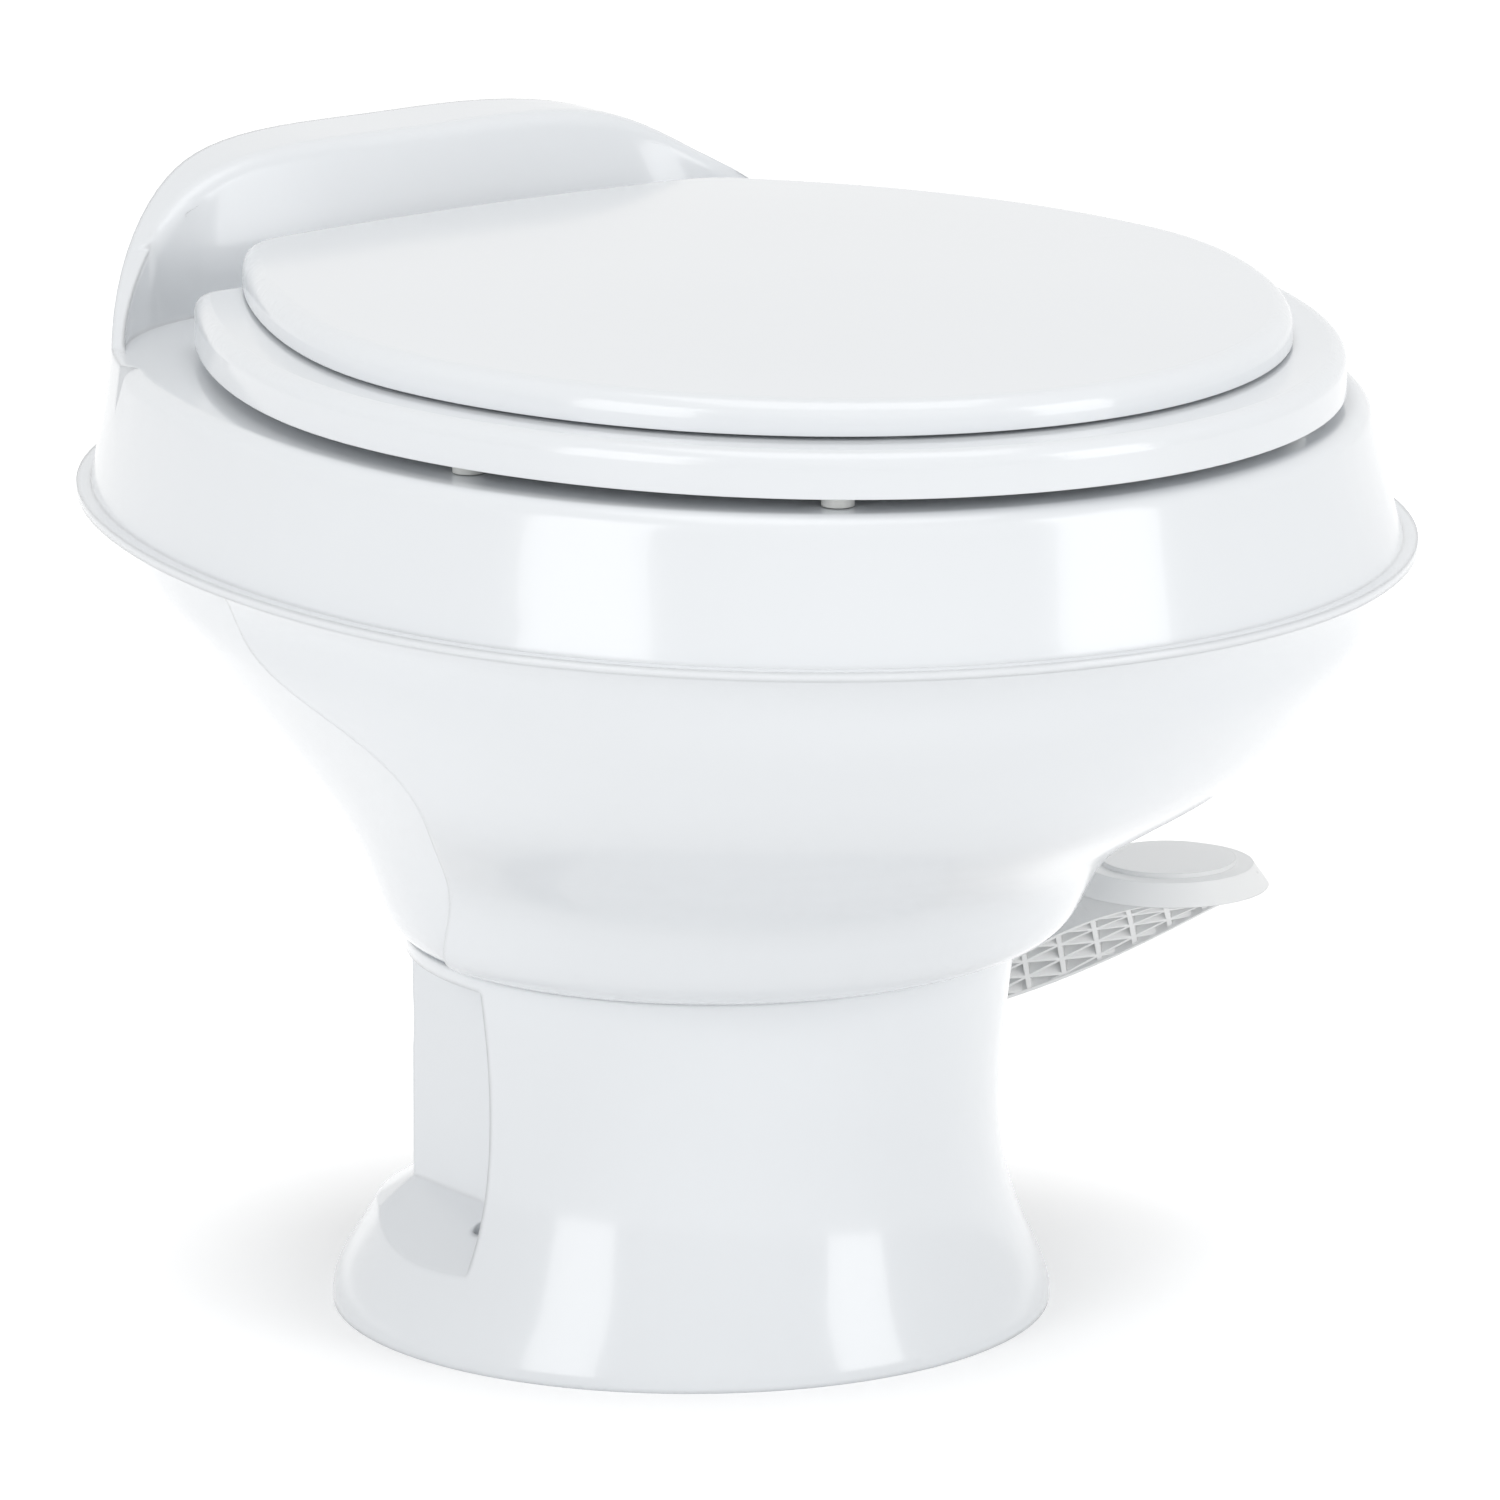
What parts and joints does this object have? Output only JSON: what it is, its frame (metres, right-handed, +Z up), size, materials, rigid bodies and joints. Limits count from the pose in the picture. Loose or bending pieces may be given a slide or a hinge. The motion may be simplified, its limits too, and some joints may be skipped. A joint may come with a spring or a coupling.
{
  "type": "rv toilet",
  "caption": "Low gravity-flush travel-trailer toilet with a waisted pedestal, side foot pedal, seat and lid, and a pedal-geared ball valve over its floor drain.",
  "frame": {"origin": "drain axis at floor level", "axes": "front faces -Y, the pedal is on the +X side, +Z up"},
  "size_m": [0.3887, 0.4618, 0.3497],
  "materials": {
    "shell_plastic": "glossy moulded white plastic",
    "seat_plastic": "glossy moulded white plastic",
    "bowl_plastic": "glossy moulded white plastic",
    "pedal_plastic": "slightly matt moulded white plastic",
    "valve_plastic": "dark moulded engineering plastic",
    "rubber": "soft black rubber",
    "seat_rubber": "soft light rubber",
    "steel": "stainless steel",
    "hose": "translucent flexible hose"
  },
  "bodies": {
    "toilet": {"base_pedestal": "shell_plastic", "lower_shell": "shell_plastic", "upper_shell": "shell_plastic", "bowl": "bowl_plastic", "bowl_seal": "rubber", "valve_housing": "valve_plastic", "collar_screws": "steel", "floor_seal": "rubber", "pivot_pin": "steel", "pivot_clip": "steel", "return_spring": "steel", "water_valve": "valve_plastic", "inlet_washer": "rubber", "feed_hose": "hose", "breaker_body": "valve_plastic", "breaker_cap": "valve_plastic", "rinse_hose": "hose", "rinse_nozzle": "valve_plastic", "hinge_posts": "seat_plastic", "hinge_pins": "steel", "hinge_bolts": "steel", "hinge_washers": "rubber", "wing_nuts": "valve_plastic"},
    "pedal": {"pedal": "pedal_plastic", "sector_gear": "valve_plastic"},
    "flush_ball": {"flush_ball": "valve_plastic", "drive_shaft": "steel", "idler_shaft": "steel", "pinion": "valve_plastic"},
    "valve_plunger": {"valve_plunger": "valve_plastic"},
    "breaker_float": {"breaker_float": "valve_plastic"},
    "inlet_nut": {"inlet_nut": "valve_plastic"},
    "seat": {"seat": "seat_plastic", "seat_bumpers": "seat_rubber"},
    "lid": {"lid": "seat_plastic", "lid_bumpers": "seat_rubber"}
  },
  "joints": [
    {"name": "pedal_hinge", "type": "hinge", "parent": "toilet", "child": "pedal", "pos_m": [0.03, 0.08, 0.05626], "axis": [0, 1, 0], "range_deg": [0, 28], "stiffness_Nm_per_rad": 3, "springref_deg": -20.05},
    {"name": "ball_turn", "type": "hinge", "parent": "toilet", "child": "flush_ball", "pos_m": [0, 0, 0.095], "axis": [0, 1, 0], "range_deg": [-86.34, 0]},
    {"name": "plunger_lift", "type": "slide", "parent": "toilet", "child": "valve_plunger", "axis": [0, 0, 1], "range_m": [0, 0.0125]},
    {"name": "seat_hinge", "type": "hinge", "parent": "toilet", "child": "seat", "pos_m": [0, 0.109, 0.314], "axis": [-1, 0, 0], "range_deg": [0, 100]},
    {"name": "lid_hinge", "type": "hinge", "parent": "seat", "child": "lid", "pos_m": [0, 0.109, 0.314], "axis": [1, 0, 0], "range_deg": [-100, 0]},
    {"name": "float_lift", "type": "slide", "parent": "toilet", "child": "breaker_float", "axis": [0, 0, 1], "range_m": [0, 0.005]},
    {"name": "nut_spin", "type": "hinge", "parent": "toilet", "child": "inlet_nut", "pos_m": [0.011, 0.117, 0.098], "axis": [0, 1, 0], "continuous": true}
  ],
  "couplings": [
    {"joint": "ball_turn", "follows": "pedal_hinge", "ratio": -3.0833},
    {"joint": "plunger_lift", "follows": "pedal_hinge", "m_per_rad": 0.0255}
  ]
}
